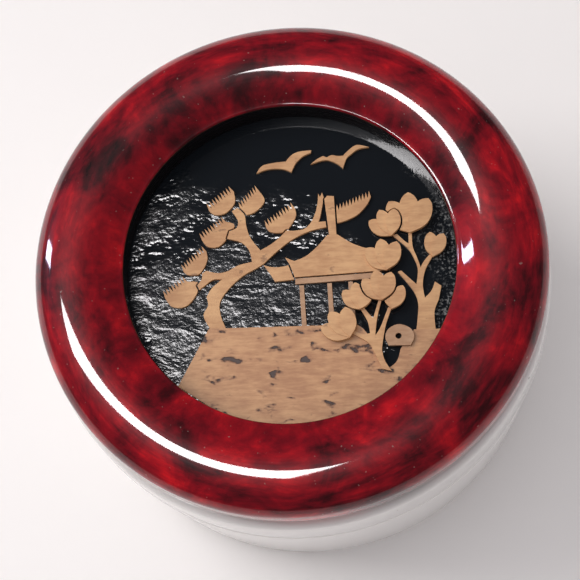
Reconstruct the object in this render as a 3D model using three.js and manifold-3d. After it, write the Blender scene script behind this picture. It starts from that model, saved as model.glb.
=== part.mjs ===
// A round lidded trinket box: a white turned body, a red lacquered ring on the lid, and a black
// panel in the ring that carries a landscape cut from thin cork. Millimetres, +Z up, the foot at
// z = 0, the top of the picture towards +Y.
import * as THREE from 'three';
import { mergeVertices } from 'three/addons/utils/BufferGeometryUtils.js';
import Module from 'manifold-3d';

const wasm = await Module();
wasm.setup();

// Body
const bodyRadius = 45.6;
const footInset = 2.2;
const spigotWall = 3.6;
const floorThickness = 4;
const seamHeight = 29;
const seamBevel = 0.6;
const footRounding = 1.5;

// Spigot of the base and skirt of the lid
const skirtWall = 4;
const spigotHeight = 4.5;
const lidClearance = 0.3;
const skirtHeight = 8.3;
const shoulderRounding = 1.2;

// Red ring
const ringRadius = 45;
const ringFootInset = 2;
const ringHeight = 12;
const crestInset = 7.5;
const bellyHeight = 5;
const sideHeight = 2.2;
const recessRadius = 29.1;
const recessDepth = 5;
const innerDrop = 3.2;
const innerEdge = 0.6;

// Panel and the board behind it
const panelThickness = 2;
const rebateWidth = 2.4;
const fitClearance = 0.3;

// Cork pieces, drawn on a disc of this radius and fitted to the recess
const drawnRadius = 28.8;
const corkThickness = 0.5;
const petalStep = 0.15;
const corkGap = 0.3;
const groundTop = -10.8;
const bankTop = -12;

const turningSteps = 72;
const outlineSteps = 3;
const cutDirections = 8;

const spigotRadius = bodyRadius - skirtWall;
const boreRadius = spigotRadius - spigotWall;
const footRadius = bodyRadius - footInset;
const ringFootRadius = bodyRadius - ringFootInset;
const crestRadius = ringRadius - crestInset;
const skirtTop = seamHeight + skirtHeight;
const crestHeight = skirtTop + ringHeight;
const panelTop = crestHeight - innerDrop - recessDepth;
const pictureScale = (recessRadius - fitClearance) / drawnRadius;

const white = { color: 0xe8e4df, roughness: 0.25, metalness: 0 };
const red = { color: 0x8a1018, roughness: 0.15, metalness: 0 };
const black = { color: 0x14161a, roughness: 0.2, metalness: 0 };
const board = { color: 0x2b2422, roughness: 0.8, metalness: 0 };
const cork = { color: 0xc99b68, roughness: 0.85, metalness: 0 };
const darkCork = { color: 0xb98a5a, roughness: 0.9, metalness: 0 };

const box = new THREE.Group();

function addMesh(name, geometry, finish) {
  const mesh = new THREE.Mesh(geometry, new THREE.MeshStandardMaterial(finish));
  mesh.name = name;
  box.add(mesh);
  return mesh;
}

// Turned pieces: the profile runs up the outside and down the inside
function turned(profile) {
  const points = profile.map(([r, z]) => new THREE.Vector2(r, z));
  return new THREE.LatheGeometry(points, turningSteps).rotateX(Math.PI / 2);
}

function arc(centreR, centreZ, radiusR, radiusZ, from, to, steps) {
  const points = [];
  for (let i = 0; i <= steps; i++) {
    const angle = THREE.MathUtils.degToRad(from + (to - from) * i / steps);
    points.push([centreR + radiusR * Math.cos(angle), centreZ + radiusZ * Math.sin(angle)]);
  }
  return points;
}

// Base: the foot, the wall flaring to the seam, the spigot and the bore
function baseDrum() {
  const spigotTop = seamHeight + spigotHeight;
  return turned([
    [0, 0],
    ...arc(footRadius - footRounding, footRounding, footRounding, footRounding, -90, 0, 4),
    [bodyRadius, seamHeight - seamBevel],
    [bodyRadius - seamBevel, seamHeight],
    [spigotRadius, seamHeight],
    [spigotRadius, spigotTop],
    [boreRadius, spigotTop],
    [boreRadius, floorThickness],
    [0, floorThickness],
  ]);
}

// Skirt of the lid: it rests on the base at the seam and turns in under the red ring
function lidSkirt() {
  const innerRadius = spigotRadius + lidClearance;
  const rounding = shoulderRounding;
  return turned([
    [innerRadius, seamHeight],
    [bodyRadius - seamBevel, seamHeight],
    [bodyRadius, seamHeight + seamBevel],
    ...arc(bodyRadius - rounding, skirtTop - rounding, rounding, rounding, 0, 90, 4),
    [innerRadius, skirtTop],
    [innerRadius, seamHeight],
  ]);
}

// Red ring: it stands on the skirt, inside the skirt's edge, and has a short upright side, a dome
// over the crest and a fall to the edge of the recess
function lidRing() {
  const underTurn = 36;
  const sideLow = skirtTop + bellyHeight;
  const sideHigh = sideLow + sideHeight;
  const edgeHeight = crestHeight - innerDrop;
  const foot = arc(crestRadius, sideLow, crestInset, bellyHeight, -underTurn, 0, 3);
  const dome = arc(crestRadius, sideHigh, crestInset, crestHeight - sideHigh, 0, 90, 9);
  const slope = [];
  for (const share of [0.25, 0.5, 0.75]) {
    slope.push([
      crestRadius + (recessRadius + innerEdge - crestRadius) * share,
      crestHeight - innerDrop * share * share,
    ]);
  }
  const rebateRadius = recessRadius + rebateWidth;
  return turned([
    [rebateRadius, skirtTop],
    [ringFootRadius, skirtTop],
    ...foot,
    ...dome,
    ...slope,
    ...arc(recessRadius + innerEdge, edgeHeight - innerEdge, innerEdge, innerEdge, 90, 180, 3),
    [recessRadius, panelTop],
    [rebateRadius, panelTop],
    [rebateRadius, skirtTop],
  ]);
}

// A disc that drops into the rebate of the ring from below
function rebateDisc(bottom, top) {
  const radius = recessRadius + rebateWidth - fitClearance;
  return turned([[0, bottom], [radius, bottom], [radius, top], [0, top]]);
}

// A cork outline: one point is a straight cut, more are a smooth curve
function outline(start, ...stretches) {
  const shape = new THREE.Shape();
  shape.moveTo(...start);
  for (const stretch of stretches) {
    if (stretch.length === 1) {
      shape.lineTo(...stretch[0]);
    } else {
      shape.splineThru(stretch.map((point) => new THREE.Vector2(...point)));
    }
  }
  return shape;
}

// A sheet of cork cut to an outline, on the panel (layer 0) or on the sheets below it
function corkSheet(shape, layer, depth = corkThickness) {
  const settings = { depth, bevelEnabled: false, curveSegments: outlineSteps };
  const sheet = new THREE.ExtrudeGeometry(shape, settings);
  sheet.scale(pictureScale, pictureScale, 1);
  return sheet.translate(0, 0, panelTop + layer * corkThickness);
}

function solidOf(geometry) {
  const plain = geometry.clone();
  plain.deleteAttribute('normal');
  plain.deleteAttribute('uv');
  const merged = mergeVertices(plain, 1e-4);
  const vertProperties = new Float32Array(merged.attributes.position.array);
  const triVerts = new Uint32Array(merged.index.array);
  return new wasm.Manifold(new wasm.Mesh({ numProp: 3, vertProperties, triVerts }));
}

function geometryOf(solid) {
  const mesh = solid.getMesh();
  const geometry = new THREE.BufferGeometry();
  geometry.setAttribute('position', new THREE.BufferAttribute(mesh.vertProperties, mesh.numProp));
  geometry.setIndex(new THREE.BufferAttribute(mesh.triVerts, 1));
  return geometry;
}

// Cuts a solid back until it clears its neighbours on the same layer all round; of a sheet that
// a neighbour crosses, the largest part stays
function trimmed(solid, ...neighbours) {
  for (const neighbour of neighbours) {
    for (let i = 0; i < cutDirections; i++) {
      const angle = 2 * Math.PI * i / cutDirections;
      const step = [corkGap * Math.cos(angle), corkGap * Math.sin(angle), 0];
      solid = solid.subtract(neighbour.translate(step));
    }
  }
  const parts = solid.decompose();
  parts.sort((a, b) => b.volume() - a.volume());
  return parts[0];
}

// Ground, with the bank at the right and the notch where the shrub grows
function groundOutline() {
  const bankEnd = Math.sqrt(drawnRadius ** 2 - bankTop ** 2);
  const leftEnd = -19.6;
  const leftLow = -Math.sqrt(drawnRadius ** 2 - leftEnd ** 2);
  const shape = outline(
    [-14.4, groundTop],
    [[11.5, groundTop]],
    [[12.6, -11.6], [13.8, -13.2]],
    [[15, -15.4], [15.6, -17.2], [16.6, -19]],
    [[18.3, -17.6], [19, -15.4]],
    [[20.3, -13.4], [21.4, bankTop]],
    [[bankEnd, bankTop]],
  );
  shape.absarc(0, 0, drawnRadius, Math.atan2(bankTop, bankEnd), Math.atan2(leftLow, leftEnd), true);
  shape.splineThru([new THREE.Vector2(-16, -14), new THREE.Vector2(-14.4, groundTop)]);
  return shape;
}

// Pine: a leaning trunk with one limb to the left, one up and one to the right
function pineOutline() {
  return outline(
    [-14.2, groundTop],
    [[-15.4, -8.4], [-14.6, -6.6], [-14.9, -5]],
    [[-14, -3.4], [-12.2, -1.8]],
    [[-13.8, -1.8], [-15.2, -2.8], [-16.2, -3.6]],
    [[-16.6, -2.8]],
    [[-15.8, -1.6], [-15.8, -0.6]],
    [[-15, -0.1]],
    [[-13, -0.6], [-11.2, -0.3], [-9.4, 0.7], [-6.9, 1.3]],
    [[-7.4, 3.4], [-8.8, 5], [-11.4, 5.8]],
    [[-11, 7.2]],
    [[-9.7, 7.8], [-9.5, 9.2], [-10.6, 11]],
    [[-9.6, 11.6]],
    [[-8.3, 10.2], [-8, 8.2], [-7.2, 5.8], [-5.4, 3.4]],
    [[-3.5, 4.5], [-1.9, 5.8], [-0.8, 7]],
    [[0.9, 6.9], [2.6, 7.3], [3.9, 8.9], [4.7, 11.4], [4.9, 13.8]],
    [[5.2, 13.1]],
    [[5.6, 14]],
    [[5.9, 13]],
    [[5.5, 10.8], [5.2, 9.2], [4.9, 8.4]],
    [[7, 8.5]],
    [[7, 7.5]],
    [[3.6, 6.8], [0.2, 5.2], [-2.6, 3], [-4.8, 0.9]],
    [[-6.2, 0], [-8.4, -1.2], [-10.8, -3.4], [-12.5, -6], [-12.3, -8.6], [-11.4, groundTop]],
    [[-14.2, groundTop]],
  );
}

// A spray of needles: saw teeth from one corner to the other and a rounded back
function needleFan(from, to, reach, teeth, back) {
  const shape = new THREE.Shape();
  const start = new THREE.Vector2(...from);
  const end = new THREE.Vector2(...to);
  const lean = new THREE.Vector2(...reach);
  shape.moveTo(start.x, start.y);
  for (let i = 0; i < teeth; i++) {
    const tip = start.clone().lerp(end, (i + 0.4) / teeth).add(lean);
    const valley = start.clone().lerp(end, (i + 1) / teeth);
    shape.lineTo(tip.x, tip.y);
    shape.lineTo(valley.x, valley.y);
  }
  shape.splineThru([...back.map((point) => new THREE.Vector2(...point)), start]);
  return shape;
}

const needleFans = [
  needleFan([-14.7, 11.2], [-10.3, 14.8], [-0.7, 1.3], 9, [[-10.1, 12.6], [-11.7, 10.7], [-13.6, 10.4]]),
  needleFan([-9.5, 10.8], [-5.8, 14.8], [-0.5, 1.3], 9, [[-4.7, 12.8], [-6.3, 10.8], [-8.2, 10.2]]),
  needleFan([-15.9, 5.7], [-11.6, 9], [-0.7, 1.2], 9, [[-10.1, 8.4], [-11, 6.4], [-12.8, 4.4], [-14.8, 4.4]]),
  needleFan([-4.4, 7.6], [0.7, 11.2], [-0.5, 1.3], 10, [[0.9, 9.6], [-0.6, 7.1], [-2, 6.6], [-3.6, 6.8]]),
  needleFan([-19.1, -0.1], [-15.1, 3.6], [-0.6, 1.2], 9, [[-14.9, 1.8], [-16.2, -0.6], [-18.2, -0.8]]),
  needleFan([-22.3, -4.9], [-18.4, -2], [-0.6, 1.2], 8, [[-16.4, -2.3], [-16.8, -4.6], [-18.6, -6.6],
    [-21, -6.6]]),
  needleFan([8, 10.2], [14.3, 12.8], [0, 1.3], 11, [[13.4, 11.1], [11.4, 9.2], [8, 8.1]]),
];

// Pavilion: a curved roof with turned-up corners on a beam and three posts
const roofOutline = outline(
  [6.5, 5.9],
  [[4.6, 3.7], [2.6, 2], [0.6, 1.2]],
  [[-1, 1.9]],
  [[-0.2, 0.6]],
  [[0.7, -1.8]],
  [[15.4, -1.1]],
  [[17.4, -0.9]],
  [[17.9, 0.6]],
  [[19.6, 2.8]],
  [[17.6, 2.5], [14, 3], [11, 4.1], [8.3, 5.9]],
  [[6.5, 5.9]],
);

const wingOutline = outline(
  [-4.8, 0.6],
  [[-3.4, 0.2], [-1.6, 0.2], [0, 0.6]],
  [[0.9, -2.2]],
  [[-2.8, -2.5]],
  [[-3.7, -1], [-4.8, 0.6]],
);

const finialOutline = outline(
  [6.8, 5.9],
  [[6, 12.7]],
  [[6.5, 13.3]],
  [[7.7, 13.2]],
  [[8.1, 5.9]],
  [[6.8, 5.9]],
);

const beamLeft = 0.8;
const beamRight = 15.4;
const beamDepth = 1;
const roofEdge = (x) => -1.8 + (x - 0.7) * 0.7 / 14.7;
const beamTop = (x) => roofEdge(x) - corkGap;
const beamOutline = outline(
  [beamLeft, beamTop(beamLeft)],
  [[beamRight, beamTop(beamRight)]],
  [[beamRight, beamTop(beamRight) - beamDepth]],
  [[beamLeft, beamTop(beamLeft) - beamDepth]],
);

const postLefts = [1.5, 6.4, 10.1];
const postWidth = 0.8;
const postLean = 0.45;

function postOutline(x) {
  const top = beamTop(x) - beamDepth - corkGap;
  return outline(
    [x, top],
    [[x + postWidth, top]],
    [[x + postLean + postWidth, groundTop]],
    [[x + postLean, groundTop]],
  );
}

const birds = {
  bird_left: outline(
    [-6.2, 18.1],
    [[-5.2, 19.5], [-3.2, 20], [-0.9, 20.2]],
    [[0, 21.3], [1.4, 22], [3.7, 22.2]],
    [[3.6, 21.7]],
    [[2.2, 21.1], [0.9, 19.8], [0.1, 18.1]],
    [[-1.6, 18.8], [-4.2, 18.8], [-6.2, 18.1]],
  ),
  bird_right: outline(
    [3.6, 19.5],
    [[4.7, 20.4], [5.8, 21]],
    [[6.5, 20.7]],
    [[7.4, 21.1], [8.4, 20.9], [9.4, 20.9]],
    [[10.4, 21.9], [11.9, 22.9], [14.1, 22.4]],
    [[12.2, 22.1], [10.8, 21.1], [10, 20.3], [9.4, 18.5]],
    [[8.2, 19.5], [6.2, 20.2], [3.6, 19.5]],
  ),
};

// Tree at the right, with a cut stub and four twigs
const tallTreeOutline = outline(
  [21.8, bankTop],
  [[22.1, -9.5], [22.2, -7.2], [21.4, -4.9], [18.8, -1.4]],
  [[19.4, -1.2]],
  [[20.6, -2.4], [22, -3.8]],
  [[22.3, -1], [21.6, 1.2], [20.6, 2.9], [18, 5.4]],
  [[18.8, 5.6]],
  [[20.2, 4.2], [20.8, 3.8]],
  [[20.8, 6.2]],
  [[21.4, 6.2]],
  [[21.5, 3.2], [22.2, 1.2], [22.8, -0.7]],
  [[23.4, 0.4], [24.4, 1.6]],
  [[25, 1.4]],
  [[23.6, -1.2], [23.1, -3.8], [23.4, -6.3]],
  [[24.6, -5], [25.2, -3.4]],
  [[26.3, -4.2]],
  [[25.8, -6.6], [25, -8.8], [25.1, bankTop]],
  [[21.8, bankTop]],
);

// Shrub in front: a forked stem that rises from the notch of the ground
const shrubOutline = outline(
  [15.8, -19],
  [[14.6, -16.2], [13.4, -14.2], [10.4, -12.4]],
  [[10.8, -11.9]],
  [[12.4, -12.7], [13.8, -12.6]],
  [[13.4, -10.4], [12.1, -8]],
  [[12.8, -7.9]],
  [[13.9, -9.4], [14.4, -9.8]],
  [[14.9, -8.2], [15.5, -6.2]],
  [[16, -6.3]],
  [[15.3, -8.8], [14.9, -11], [14.7, -13]],
  [[15.6, -11.6], [17, -8]],
  [[17.6, -8.1]],
  [[16.6, -11], [16.1, -13.4], [15.8, -15.4]],
  [[16.2, -17.4], [17.4, -19.4]],
  [[15.8, -19]],
);

const rockOutline = outline(
  [17, -14.9],
  [[16.4, -13.4], [17, -11.9], [18.8, -11.1], [20.8, -11.9], [21.4, -13.4], [20.8, -14.9]],
  [[17, -14.9]],
);
const rockHole = new THREE.EllipseCurve(18.7, -13.2, 0.55, 0.55).getPoints(12);
rockOutline.holes.push(new THREE.Path(rockHole.slice(1)));

// A petal that rises from one point to its tip, leaning by lean degrees
function petalOutline(x, y, length, width, lean) {
  const turn = THREE.MathUtils.degToRad(lean);
  const at = (u, v) => [
    x + u * Math.cos(turn) - v * Math.sin(turn),
    y + u * Math.sin(turn) + v * Math.cos(turn),
  ];
  const side = (sign) => [
    at(sign * width * 0.42, length * 0.3),
    at(sign * width * 0.5, length * 0.6),
    at(sign * width * 0.3, length * 0.88),
  ];
  return outline(at(0, 0), [...side(-1), at(0, length)], [...side(1).reverse(), at(0, 0)]);
}

// A blossom in side view: each petal lies a little over the one before it
function blossom([x, y, size, petals, lean], layer, extra = 0) {
  const spread = 30;
  const first = -spread * (petals - 1) / 2;
  let solid = null;
  for (let i = 0; i < petals; i++) {
    const middle = 1 - Math.abs(i - (petals - 1) / 2) / petals;
    const shape = petalOutline(x, y, size * (0.8 + 0.2 * middle), size * 0.5, lean - first - spread * i);
    const petal = solidOf(corkSheet(shape, layer, corkThickness + petalStep * i + extra));
    solid = solid ? solid.add(petal) : petal;
  }
  return solid;
}

// On the roof and the tall tree the blossoms lie one layer up, on the shrub two
const treeBlossoms = [
  [17.9, 5.2, 5.3, 3, 24],
  [21.2, 5.6, 7.6, 3, 2],
  [25, 1, 4.9, 2, -10],
  [16.9, -1.2, 5.9, 3, 10],
];
const shrubBlossoms = [
  [16.1, -6.8, 5.6, 3, 12],
  [12.2, -8.4, 5, 3, 10],
  [17.7, -8.5, 4.9, 2, -10],
  [10.4, -13.4, 5.9, 3, 38],
];

addMesh('base_drum', baseDrum(), white);
addMesh('lid_skirt', lidSkirt(), white);
addMesh('lid_ring', lidRing(), red);
addMesh('picture_panel', rebateDisc(panelTop - panelThickness, panelTop), black);
addMesh('panel_backing', rebateDisc(skirtTop, panelTop - panelThickness), board);

const finial = corkSheet(finialOutline, 0);
const roof = corkSheet(roofOutline, 0);
const beam = corkSheet(beamOutline, 0);
const pine = trimmed(solidOf(corkSheet(pineOutline(), 0)), solidOf(finial));
const wing = trimmed(solidOf(corkSheet(wingOutline, 0)), pine, solidOf(roof), solidOf(beam));
addMesh('ground', corkSheet(groundOutline(), 0), cork);
addMesh('pine_tree', geometryOf(pine), cork);
needleFans.forEach((fan, i) => {
  const spray = trimmed(solidOf(corkSheet(fan, 0)), pine, solidOf(finial));
  addMesh(`needle_fan_${i + 1}`, geometryOf(spray), cork);
});
addMesh('pavilion_roof', roof, cork);
addMesh('roof_finial', finial, cork);
addMesh('roof_wing', geometryOf(wing), cork);
addMesh('roof_beam', beam, darkCork);
postLefts.forEach((x, i) => {
  addMesh(`roof_post_${i + 1}`, corkSheet(postOutline(x), 0), darkCork);
});
for (const [name, shape] of Object.entries(birds)) {
  addMesh(name, corkSheet(shape, 0), cork);
}
addMesh('tall_tree', corkSheet(tallTreeOutline, 0), cork);
const shrub = corkSheet(shrubOutline, 1);
addMesh('shrub', shrub, cork);
addMesh('rock', geometryOf(trimmed(solidOf(corkSheet(rockOutline, 1)), solidOf(shrub))), darkCork);

// Each blossom is cut clear of the full height of those before it
function addBlossoms(name, places, layer) {
  const placed = [];
  places.forEach((place, i) => {
    addMesh(`${name}_${i + 1}`, geometryOf(trimmed(blossom(place, layer), ...placed)), cork);
    placed.push(blossom(place, layer, corkThickness));
  });
}

addBlossoms('tree_blossom', treeBlossoms, 1);
addBlossoms('shrub_blossom', shrubBlossoms, 2);

export default box;
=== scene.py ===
import math
import bmesh
import bpy
from mathutils import Matrix, Vector


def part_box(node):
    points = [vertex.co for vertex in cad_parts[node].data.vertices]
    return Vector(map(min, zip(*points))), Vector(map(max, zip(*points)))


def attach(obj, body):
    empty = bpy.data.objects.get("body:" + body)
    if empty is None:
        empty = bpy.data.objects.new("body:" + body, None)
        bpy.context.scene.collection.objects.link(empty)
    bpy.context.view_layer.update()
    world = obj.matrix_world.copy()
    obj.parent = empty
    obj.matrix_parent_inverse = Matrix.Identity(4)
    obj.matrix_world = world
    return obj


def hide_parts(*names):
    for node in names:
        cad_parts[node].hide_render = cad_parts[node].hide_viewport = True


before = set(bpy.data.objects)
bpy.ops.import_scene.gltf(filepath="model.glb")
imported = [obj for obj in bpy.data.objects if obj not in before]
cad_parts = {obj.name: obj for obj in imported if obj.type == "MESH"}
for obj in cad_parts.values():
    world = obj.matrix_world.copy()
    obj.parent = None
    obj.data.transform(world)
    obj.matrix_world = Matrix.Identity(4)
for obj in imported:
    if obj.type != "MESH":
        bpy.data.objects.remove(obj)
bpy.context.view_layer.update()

# Base: a cup turned from one block of wood, with a rounded foot, a wall that flares up to the seam,
# and a spigot that the lid slips over. It is finished in pale lacquer, with faint turning lines,
# slight yellowing and a few specks.
MM = 0.001
turning_steps = 192
_, base_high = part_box("base_drum")
body_radius = base_high[0]
foot_radius = body_radius - 2.2 * MM
foot_rounding = 1.5 * MM
seam_bevel = 0.6 * MM
spigot_radius = body_radius - 4 * MM
spigot_height = 4.5 * MM
spigot_top = base_high[2]
spigot_edge = 0.4 * MM
seam_height = spigot_top - spigot_height
bore_radius = spigot_radius - 3.6 * MM
bore_rounding = 1.2 * MM
floor_thickness = 4 * MM


class Socket:
    """A node's output. Arithmetic on it adds Math nodes."""

    def __init__(self, finish, output):
        self.finish = finish
        self.output = output

    def math(self, operation, *values):
        return self.finish.node("Math", {"operation": operation}, dict(enumerate(values)))

    def __add__(self, other):
        return self.math("ADD", self, other)

    def __radd__(self, other):
        return self.math("ADD", other, self)

    def __sub__(self, other):
        return self.math("SUBTRACT", self, other)

    def __rsub__(self, other):
        return self.math("SUBTRACT", other, self)

    def __mul__(self, other):
        return self.math("MULTIPLY", self, other)

    def __rmul__(self, other):
        return self.math("MULTIPLY", other, self)

    def __truediv__(self, other):
        return self.math("DIVIDE", self, other)


class Finish:
    """A material under construction around one Principled shader."""

    def __init__(self, name, **constants):
        self.material = bpy.data.materials.new(name)
        self.material.use_nodes = True
        self.tree = self.material.node_tree
        self.shader = self.tree.nodes["Principled BSDF"]
        for socket, value in constants.items():
            self.shader.inputs[socket.replace("_", " ")].default_value = value
        self.place = self.node("TexCoord", output="Object")

    def node(self, kind, settings=None, inputs=None, output=0):
        """Adds a node. Its settings come first, then the values or links of its sockets."""
        node = self.tree.nodes.new("ShaderNode" + kind)
        for key, value in (settings or {}).items():
            if key == "stops":
                ramp = node.color_ramp
                for position, _ in value[2:]:
                    ramp.elements.new(position)
                for element, (position, colour) in zip(ramp.elements, value):
                    element.position = position
                    element.color = (*colour, 1)
            else:
                setattr(node, key, value)
        for key, value in (inputs or {}).items():
            if isinstance(value, Socket):
                self.tree.links.new(value.output, node.inputs[key])
            else:
                node.inputs[key].default_value = value
        return Socket(self, node.outputs[output])

    def noise(self, vector, scale, detail=2.0, roughness=0.5, distortion=0.0):
        inputs = {"Vector": vector, "Scale": scale, "Detail": detail}
        inputs.update({"Roughness": roughness, "Distortion": distortion})
        return self.node("TexNoise", None, inputs)

    def ramp(self, value, stops):
        return self.node("ValToRGB", {"stops": stops}, {"Fac": value})

    def step(self, value, low, high):
        """0 below low, 1 above high, smooth between."""
        inputs = {"Value": value, "From Min": low, "From Max": high}
        return self.node("MapRange", {"interpolation_type": "SMOOTHSTEP"}, inputs)

    def mix(self, factor, first, second):
        inputs = {"Factor": factor, 6: first, 7: second}
        return self.node("Mix", {"data_type": "RGBA"}, inputs, output=2)

    def stretched(self, scale, turn=0.0):
        """Object coordinates stretched by scale and turned about Z."""
        inputs = {"Vector": self.place, "Scale": scale, "Rotation": (0, 0, turn)}
        return self.node("Mapping", None, inputs)

    def axes(self):
        """Object coordinates as three numbers."""
        x = self.node("SeparateXYZ", None, {"Vector": self.place})
        return [Socket(self, output) for output in x.output.node.outputs]

    def from_axis(self):
        """Distance from the axis of the box."""
        x, y, _ = self.axes()
        return self.node("Math", {"operation": "SQRT"}, {0: x * x + y * y})

    def around(self, along, across):
        """Coordinates that run round the box's axis with no seam: along sets the detail round
        the circle, and across the detail over the radius and the height."""
        x, y, z = self.axes()
        radius = self.from_axis()
        inputs = {"X": x / radius * along, "Y": y / radius * along, "Z": (radius - z) * across}
        return self.node("CombineXYZ", None, inputs)

    def bump(self, height, strength, distance, normal=None):
        inputs = {"Height": height, "Strength": strength, "Distance": distance}
        if normal:
            inputs["Normal"] = normal
        return self.node("Bump", None, inputs)

    def feed(self, **sockets):
        """Links the sockets of the shader and gives the finished material."""
        for socket, value in sockets.items():
            self.tree.links.new(value.output, self.shader.inputs[socket.replace("_", " ")])
        return self.material


pale_deep = (0.74, 0.71, 0.68, 1)
pale_light = (0.84, 0.81, 0.79, 1)
speck_brown = (0.16, 0.1, 0.07, 1)
pale = Finish("pale_lacquer", Roughness=0.35, Coat_Weight=0.8, Coat_Roughness=0.06)
turning_lines = pale.noise(pale.around(along=0.6, across=900), scale=1, detail=3)
yellowing = pale.noise(pale.place, scale=45, detail=3)
specks = pale.step(pale.noise(pale.place, scale=420), low=0.74, high=0.8)
pale_colour = pale.mix(specks * 0.7, pale.mix(yellowing, pale_deep, pale_light), speck_brown)
pale_relief = pale.bump(turning_lines, strength=0.1, distance=0.05 * MM)
pale_lacquer = pale.feed(Base_Color=pale_colour, Normal=pale_relief)


def arc(centre_r, centre_z, radius_r, radius_z, start, end, steps):
    """Points of an elliptical arc in the radius-height plane, angles in degrees."""
    points = []
    for i in range(steps + 1):
        angle = math.radians(start + (end - start) * i / steps)
        points.append((centre_r + radius_r * math.cos(angle), centre_z + radius_z * math.sin(angle)))
    return points


def rounding(centre_r, centre_z, radius, start, end, steps):
    """Points of a round edge of one radius about its centre, angles in degrees."""
    return arc(centre_r, centre_z, radius, radius, start, end, steps)


def turned(name, profile, material, body):
    """Spins a closed profile, given up the outside and down the inside, about the Z axis."""
    merge_distance = 1e-7
    sharp_angle = math.radians(40)
    mesh = bpy.data.meshes.new(name)
    bm = bmesh.new()
    verts = [bm.verts.new((r, 0, z)) for r, z in profile]
    edges = [bm.edges.new(pair) for pair in zip(verts, verts[1:])]
    if profile[0][0] > 0:
        edges.append(bm.edges.new((verts[-1], verts[0])))
    bmesh.ops.spin(bm, geom=verts + edges, cent=(0, 0, 0), axis=(0, 0, 1), angle=2 * math.pi,
                   steps=turning_steps, use_merge=True)
    bmesh.ops.remove_doubles(bm, verts=bm.verts, dist=merge_distance)
    bmesh.ops.recalc_face_normals(bm, faces=bm.faces)
    for face in bm.faces:
        face.smooth = True
    bm.to_mesh(mesh)
    bm.free()
    mesh.set_sharp_from_angle(angle=sharp_angle)
    mesh.materials.append(material)
    piece = bpy.data.objects.new(name, mesh)
    bpy.context.scene.collection.objects.link(piece)
    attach(piece, body)
    return piece


base_profile = [
    (0, 0),
    *rounding(foot_radius - foot_rounding, foot_rounding, foot_rounding, -90, 0, steps=8),
    *rounding(body_radius - seam_bevel, seam_height - seam_bevel, seam_bevel, 0, 90, steps=6),
    (spigot_radius, seam_height),
    *rounding(spigot_radius - spigot_edge, spigot_top - spigot_edge, spigot_edge, 0, 90, steps=4),
    *rounding(bore_radius + spigot_edge, spigot_top - spigot_edge, spigot_edge, 90, 180, steps=4),
    *rounding(bore_radius - bore_rounding, floor_thickness + bore_rounding, bore_rounding, 0, -90,
              steps=6),
    (0, floor_thickness),
]
base = turned("turned_base", base_profile, pale_lacquer, "base")
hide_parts("base_drum")

# Skirt of the lid: a turned collar in the same pale lacquer. It slips over the spigot, rests on the
# base at the bevelled seam, and rolls in under the red ring that sits on it.
_, skirt_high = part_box("lid_skirt")
skirt_top = skirt_high[2]
skirt_bore = spigot_radius + 0.3 * MM
shoulder = 1.2 * MM
skirt_profile = [
    (skirt_bore, seam_height),
    *rounding(body_radius - seam_bevel, seam_height + seam_bevel, seam_bevel, -90, 0, steps=6),
    *rounding(body_radius - shoulder, skirt_top - shoulder, shoulder, 0, 90, steps=8),
    (skirt_bore, skirt_top),
]
skirt = turned("turned_skirt", skirt_profile, pale_lacquer, "lid")
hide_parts("lid_skirt")

# Ring of the lid: turned wood, full at the outside, domed over the crest and falling to the edge
# of the recess. Bright red lacquer is drawn round it, clouded with maroon and near black under a
# thick clear coat, and the wall of the recess is coloured near black as painted shade.
_, ring_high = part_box("lid_ring")
_, panel_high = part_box("picture_panel")
ring_radius = ring_high[0]
ring_foot = body_radius - 2 * MM
belly = 7.5 * MM
belly_height = 5 * MM
under_turn = 36
crest_radius = ring_radius - belly
crest_height = ring_high[2]
side_low = skirt_top + belly_height
side_high = side_low + 2.2 * MM
rebate_radius = panel_high[0] + 0.3 * MM
recess_radius = rebate_radius - 2.4 * MM
panel_top = panel_high[2]
inner_drop = 3.2 * MM
inner_edge = 0.6 * MM
edge_radius = recess_radius + inner_edge
edge_height = crest_height - inner_drop
slope_steps = 12
recess_shade_edge = recess_radius + 0.02 * MM
recess_shade_fade = recess_radius + 0.2 * MM

red_stops = [
    (0.34, (0.014, 0.0006, 0.001)),
    (0.41, (0.055, 0.001, 0.004)),
    (0.48, (0.16, 0.001, 0.007)),
    (0.55, (0.29, 0.002, 0.009)),
    (0.64, (0.6, 0.006, 0.012)),
]
dust_grey = (0.4, 0.34, 0.3, 1)
recess_shade_black = (0.006, 0.004, 0.005, 1)
lacquer = Finish("red_lacquer", Roughness=0.4, Specular_IOR_Level=0.08, Coat_Weight=1.0,
                 Coat_Roughness=0.05)
drawn_round = lacquer.around(along=2.2, across=150)
drawn = lacquer.noise(drawn_round, scale=1.5, detail=5, roughness=0.6, distortion=0.5)
blotches = lacquer.noise(lacquer.place, scale=85, detail=5, roughness=0.62, distortion=0.8)
fleck_round = lacquer.around(along=8, across=620)
flecks = lacquer.noise(fleck_round, scale=1.2, detail=3, roughness=0.6, distortion=0.4)
red = lacquer.ramp(drawn * 0.42 + blotches * 0.42 + flecks * 0.16, red_stops)
dust = lacquer.step(lacquer.noise(lacquer.place, scale=1500, detail=1), low=0.74, high=0.8)
dusted = lacquer.mix(dust * 0.3, red, dust_grey)
# Painted shade: the wall of the recess is coloured near black, and the black fades into the red
# within a fifth of a millimetre of the wall.
outside_painted_shade = lacquer.step(lacquer.from_axis(), recess_shade_edge, recess_shade_fade)
ring_colour = lacquer.mix(outside_painted_shade, recess_shade_black, dusted)
scratches = lacquer.noise(lacquer.around(along=5, across=2600), scale=1)
ripple = lacquer.noise(lacquer.place, scale=210, detail=3, roughness=0.6)
nicks = lacquer.noise(lacquer.stretched((1, 0.25, 1), turn=0.9), scale=1900)
polish = lacquer.bump(scratches * 0.8 + ripple + nicks * 0.4, strength=0.32, distance=0.07 * MM)
red_lacquer = lacquer.feed(Base_Color=ring_colour, Normal=polish)

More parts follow.
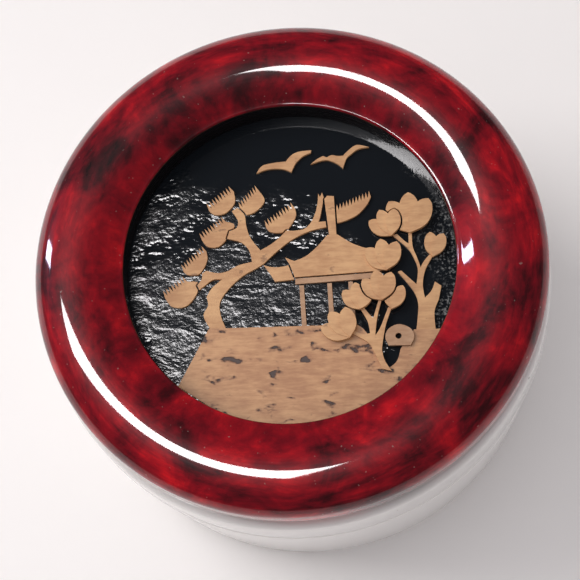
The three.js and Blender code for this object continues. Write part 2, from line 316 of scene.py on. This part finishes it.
slope = []
for i in range(1, slope_steps):
    share = i / slope_steps
    slope_radius = crest_radius + (edge_radius - crest_radius) * share
    slope.append((slope_radius, crest_height - inner_drop * share * share))
ring_profile = [
    (rebate_radius, skirt_top),
    (ring_foot, skirt_top),
    *arc(crest_radius, side_low, belly, belly_height, -under_turn, 0, steps=8),
    *arc(crest_radius, side_high, belly, crest_height - side_high, 0, 90, steps=24),
    *slope,
    *rounding(edge_radius, edge_height - inner_edge, inner_edge, 90, 180, steps=6),
    (recess_radius, panel_top),
    (rebate_radius, panel_top),
]
ring = turned("lacquer_ring", ring_profile, red_lacquer, "lid")
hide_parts("lid_ring")

# Panel: a thin black lacquered disc set into the rebate of the ring from below. Its grain runs up
# the picture. An orange peel breaks the lamp's reflection into clouds, strongest low at the left,
# and grey specks along the right are a painted reflection.
cloud_centre = (-9 * MM, -9 * MM, 0)
cloud_squeeze = (1, 1.3, 0)
lacquer_black = (0.008, 0.01, 0.013, 1)
reflection_grey = (0.25, 0.25, 0.24, 1)
black = Finish("black_lacquer", IOR=1.5)
to_right = black.axes()[0]
grain = black.noise(black.stretched((1, 0.05, 1)), scale=2400)
peel = black.noise(black.place, scale=900, detail=3, roughness=0.6)
wave_stretch = black.stretched((0.6, 1, 1), turn=0.3)
waves = black.noise(wave_stretch, scale=260, detail=3, roughness=0.6, distortion=0.5)
patches = black.noise(black.stretched((0.7, 1, 1)), scale=120, detail=4, roughness=0.6)
from_centre = black.node("VectorMath", {"operation": "SUBTRACT"}, {0: black.place, 1: cloud_centre})
squeezed = black.node("VectorMath", {"operation": "MULTIPLY"}, {0: from_centre, 1: cloud_squeeze})
away = black.node("VectorMath", {"operation": "LENGTH"}, {0: squeezed}, output="Value")
clouds = black.step(patches * 1.3 - away * 19 - to_right * 6, low=0.05, high=0.35)
# Painted reflection: grey specks are mixed into the black colour in a band along the right edge, and
# they roughen the lacquer there.
reflection_band_right = black.step(patches * 0.5 + to_right * 26, low=0.82, high=0.95)
reflection_speck_noise = black.noise(black.place, scale=1700, detail=3, roughness=0.6)
painted_reflection_specks = black.step(reflection_speck_noise, low=0.5, high=0.66) * reflection_band_right
black_colour = black.mix(painted_reflection_specks * 0.5, lacquer_black, reflection_grey)
black_roughness = clouds * 0.14 + painted_reflection_specks * 0.3 + 0.06
black_height = grain * 0.1 + (peel * 1.1 + waves * 2.8) * (clouds * 0.93 + 0.07)
black_relief = black.bump(black_height, strength=1.0, distance=0.11 * MM)
black_lacquer = black.feed(Base_Color=black_colour, Roughness=black_roughness, Normal=black_relief)


def give_finish(material, *starts):
    """Gives a material to each CAD node whose name begins with one of starts."""
    for name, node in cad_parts.items():
        if name.startswith(starts):
            for slot in node.material_slots:
                slot.link = "OBJECT"
                slot.material = material


give_finish(black_lacquer, "picture_panel")

# Backing: a disc of plain dark card that closes the lid from inside, pressed into the rebate
# behind the panel.
card_dark = (0.018, 0.013, 0.012, 1)
card_light = (0.06, 0.045, 0.04, 1)
card = Finish("dark_board", Roughness=0.85)
card_fibre = card.noise(card.place, scale=1400, detail=4, roughness=0.7)
card_colour = card.mix(card_fibre, card_dark, card_light)
card_relief = card.bump(card_fibre, strength=0.4, distance=0.1 * MM)
dark_board = card.feed(Base_Color=card_colour, Normal=card_relief)
give_finish(dark_board, "panel_backing")

# Ground: a sheet of cork, cut with a straight top edge and glued on the panel. Fine grain runs
# along the cut, and long bark scars in it open into dark rot.
pore_brown = (0.16, 0.065, 0.025, 1)
scar_brown = (0.2, 0.08, 0.035, 1)
rot_dark = (0.045, 0.022, 0.018, 1)


def cork_finish(name, light, dark, turn):
    """Cork veneer: fine grain along the cut, soft tone clouds, and small dark pores."""
    cork = Finish(name, Roughness=0.75, Coat_Weight=0.12, Coat_Roughness=0.4)
    fibre = cork.noise(cork.stretched((0.22, 1, 1), turn), scale=1500, detail=3, roughness=0.6)
    tone_clouds = cork.noise(cork.place, scale=130, detail=4, roughness=0.6)
    tone = fibre * 0.45 + tone_clouds * 0.55
    ground = cork.mix(cork.step(tone, low=0.35, high=0.66), dark, light)
    pore_field = cork.noise(cork.stretched((0.6, 1, 1), turn), scale=520, detail=3, roughness=0.6)
    pores = cork.step(pore_field, low=0.66, high=0.74)
    colour = cork.mix(pores * 0.55, ground, pore_brown)
    relief = cork.bump(fibre * 0.6 + tone * 0.4 - pores, strength=0.45, distance=0.08 * MM)
    return cork, colour, relief


bark, bark_colour, bark_relief = cork_finish(
    "bark_cork", light=(0.62, 0.33, 0.15, 1), dark=(0.42, 0.19, 0.08, 1), turn=0.05)
scar_stretch = bark.stretched((0.5, 1, 1), turn=0.04)
scar_field = bark.noise(scar_stretch, scale=560, detail=2, roughness=0.5, distortion=0.3)
rot_field = bark.noise(bark.place, scale=1500, detail=3, roughness=0.7)
scar_edges = bark.step(scar_field + rot_field * 0.12, low=0.64, high=0.74)
scars = bark.step(scar_field + rot_field * 0.18, low=0.74, high=0.79)
browned = bark.mix(scar_edges * 0.85, bark_colour, scar_brown)
scarred = bark.mix(scars * 0.9, browned, rot_dark)
scar_relief = bark.bump(1 - scars, strength=0.9, distance=0.3 * MM, normal=bark_relief)
bark_sheet = bark.feed(Base_Color=scarred, Normal=scar_relief)
give_finish(bark_sheet, "ground")

# Pine: a leaning trunk with its limbs cut from one sheet of plain cork, and seven separate sprays
# with saw-toothed tops, glued on the panel round it.
cork, cork_colour, cork_relief = cork_finish(
    "cork", light=(0.67, 0.375, 0.165, 1), dark=(0.48, 0.23, 0.09, 1), turn=0.1)
cork_sheet = cork.feed(Base_Color=cork_colour, Normal=cork_relief)
give_finish(cork_sheet, "pine_tree", "needle_fan")

# Pavilion: the roof, its wing and its finial are cut from the plain cork. The beam and the posts
# are narrow strips of a darker sheet, whose grain runs up the picture.
strip, strip_colour, strip_relief = cork_finish(
    "dark_cork", light=(0.5, 0.29, 0.16, 1), dark=(0.36, 0.18, 0.08, 1), turn=1.4)
cork_strip = strip.feed(Base_Color=strip_colour, Normal=strip_relief)
give_finish(cork_sheet, "pavilion_roof", "roof_finial", "roof_wing")
give_finish(cork_strip, "roof_beam", "roof_post")

# Birds, tree and shrub: plain cork again. The shrub lies one layer over the tree. Each blossom is
# built of petals that rise in steps, and lies a layer over its own twigs.
give_finish(cork_sheet, "bird", "tall_tree", "tree_blossom", "shrub")

# Rock: a pierced stone beside the shrub, cut from the darker sheet and glued one layer up, as the
# shrub is.
give_finish(cork_strip, "rock")

# Table: a plain pale floor that keeps the shadow of the box, in a pale room. Glossy surfaces see the
# room dimmer, so that the lamps stand out in the lacquer.
table_reach = 3.0
table_low = (0.9, 0.87, 0.85, 1)
table_high = (0.93, 0.9, 0.88, 1)
room_colour = (0.9, 0.88, 0.91, 1)
room_strength = 0.64
room_strength_in_gloss = 0.06
table_mesh = bpy.data.meshes.new("table")
bm = bmesh.new()
bmesh.ops.create_grid(bm, x_segments=1, y_segments=1, size=table_reach)
bm.to_mesh(table_mesh)
bm.free()
table = Finish("table", Roughness=0.6)
table_tone = table.noise(table.place, scale=30, detail=3)
table_mesh.materials.append(table.feed(Base_Color=table.mix(table_tone, table_low, table_high)))
table_top = bpy.data.objects.new("table", table_mesh)
bpy.context.scene.collection.objects.link(table_top)

world = bpy.data.worlds.new("room")
bpy.context.scene.world = world
world.use_nodes = True
room = world.node_tree
sky = room.nodes["Background"]
sky.inputs["Color"].default_value = room_colour
path = room.nodes.new("ShaderNodeLightPath")
seen = room.nodes.new("ShaderNodeMix")
seen.inputs["A"].default_value = room_strength
seen.inputs["B"].default_value = room_strength_in_gloss
room.links.new(path.outputs["Is Glossy Ray"], seen.inputs["Factor"])
room.links.new(seen.outputs["Result"], sky.inputs["Strength"])

# Lamps: a wide soft lamp at the left that lights the box, a narrow bluish one that only makes
# glints on the ring, and a long one overhead, from above the box out to the left, that makes both
# white strips on the ring.
middle = Vector((0, 0, crest_height))
upright = Vector((0, 0, 1))


def placed(place, right, up, back):
    """The matrix of a lamp or camera at place that looks along -back."""
    return Matrix.Translation(place) @ Matrix((right, up, back)).transposed().to_4x4()


def facing(place, aim, top):
    """The matrix of a lamp or camera at place that looks at aim, with top upwards."""
    back = (place - aim).normalized()
    right = top.cross(back).normalized()
    return placed(place, right, back.cross(right), back)


def area_lamp(name, matrix, width, height, power, colour, diffuse, glossy):
    """A rectangular lamp, in metres and watts, seen by diffuse or glossy surfaces or both."""
    data = bpy.data.lights.new(name, "AREA")
    data.shape = "RECTANGLE"
    data.size = width
    data.size_y = height
    data.energy = power
    data.color = colour
    lamp = bpy.data.objects.new(name, data)
    lamp.matrix_world = matrix
    lamp.visible_diffuse = diffuse
    lamp.visible_glossy = glossy
    bpy.context.scene.collection.objects.link(lamp)


soft_place = Vector((-0.8, 0.35, 0.75))
area_lamp("soft_lamp", facing(soft_place, middle, upright), width=0.8, height=0.8, power=8.5,
          colour=(1, 0.98, 0.97), diffuse=True, glossy=False)
glint_place = Vector((-0.85, 0.34, 0.42))
area_lamp("glint_lamp", facing(glint_place, middle, upright), width=0.07, height=0.26, power=2.2,
          colour=(0.72, 0.72, 1), diffuse=False, glossy=True)
lamp_near = Vector((-0.06, -0.03, 1.05))
lamp_far = Vector((-0.8, 0.2, 1.05))
along = (lamp_far - lamp_near).normalized()
lamp_matrix = placed((lamp_near + lamp_far) / 2, along, upright.cross(along), upright)
area_lamp("long_lamp", lamp_matrix, width=(lamp_far - lamp_near).length, height=0.22, power=16,
          colour=(1, 0.97, 0.98), diffuse=False, glossy=True)

# Camera: above the near right edge, with the picture upright in the image. The sizes in pixels are
# for a square image of image_pixels, in which the target lies at aim_pixels.
image_pixels = 580
focal_pixels = 1711
aim_pixels = (290, 265)
sensor_width = 36
camera_distance = 300 * MM
camera_azimuth = math.radians(16.2)
camera_elevation = math.radians(70.3)
nearest_seen = 10 * MM
target = Vector((0, 0, 43 * MM))
picture_top = Vector((0, 1, 0))
view = bpy.data.cameras.new("camera")
view.sensor_width = sensor_width
view.lens = focal_pixels / image_pixels * sensor_width
view.shift_x = (image_pixels / 2 - aim_pixels[0]) / image_pixels
view.shift_y = (aim_pixels[1] - image_pixels / 2) / image_pixels
view.clip_start = nearest_seen
camera = bpy.data.objects.new("camera", view)
bpy.context.scene.collection.objects.link(camera)
towards_camera = Vector((math.sin(camera_azimuth) * math.cos(camera_elevation),
                         -math.cos(camera_azimuth) * math.cos(camera_elevation),
                         math.sin(camera_elevation)))
camera.matrix_world = facing(target + camera_distance * towards_camera, target, picture_top)
bpy.context.scene.camera = camera
bpy.context.scene.view_settings.view_transform = "Standard"
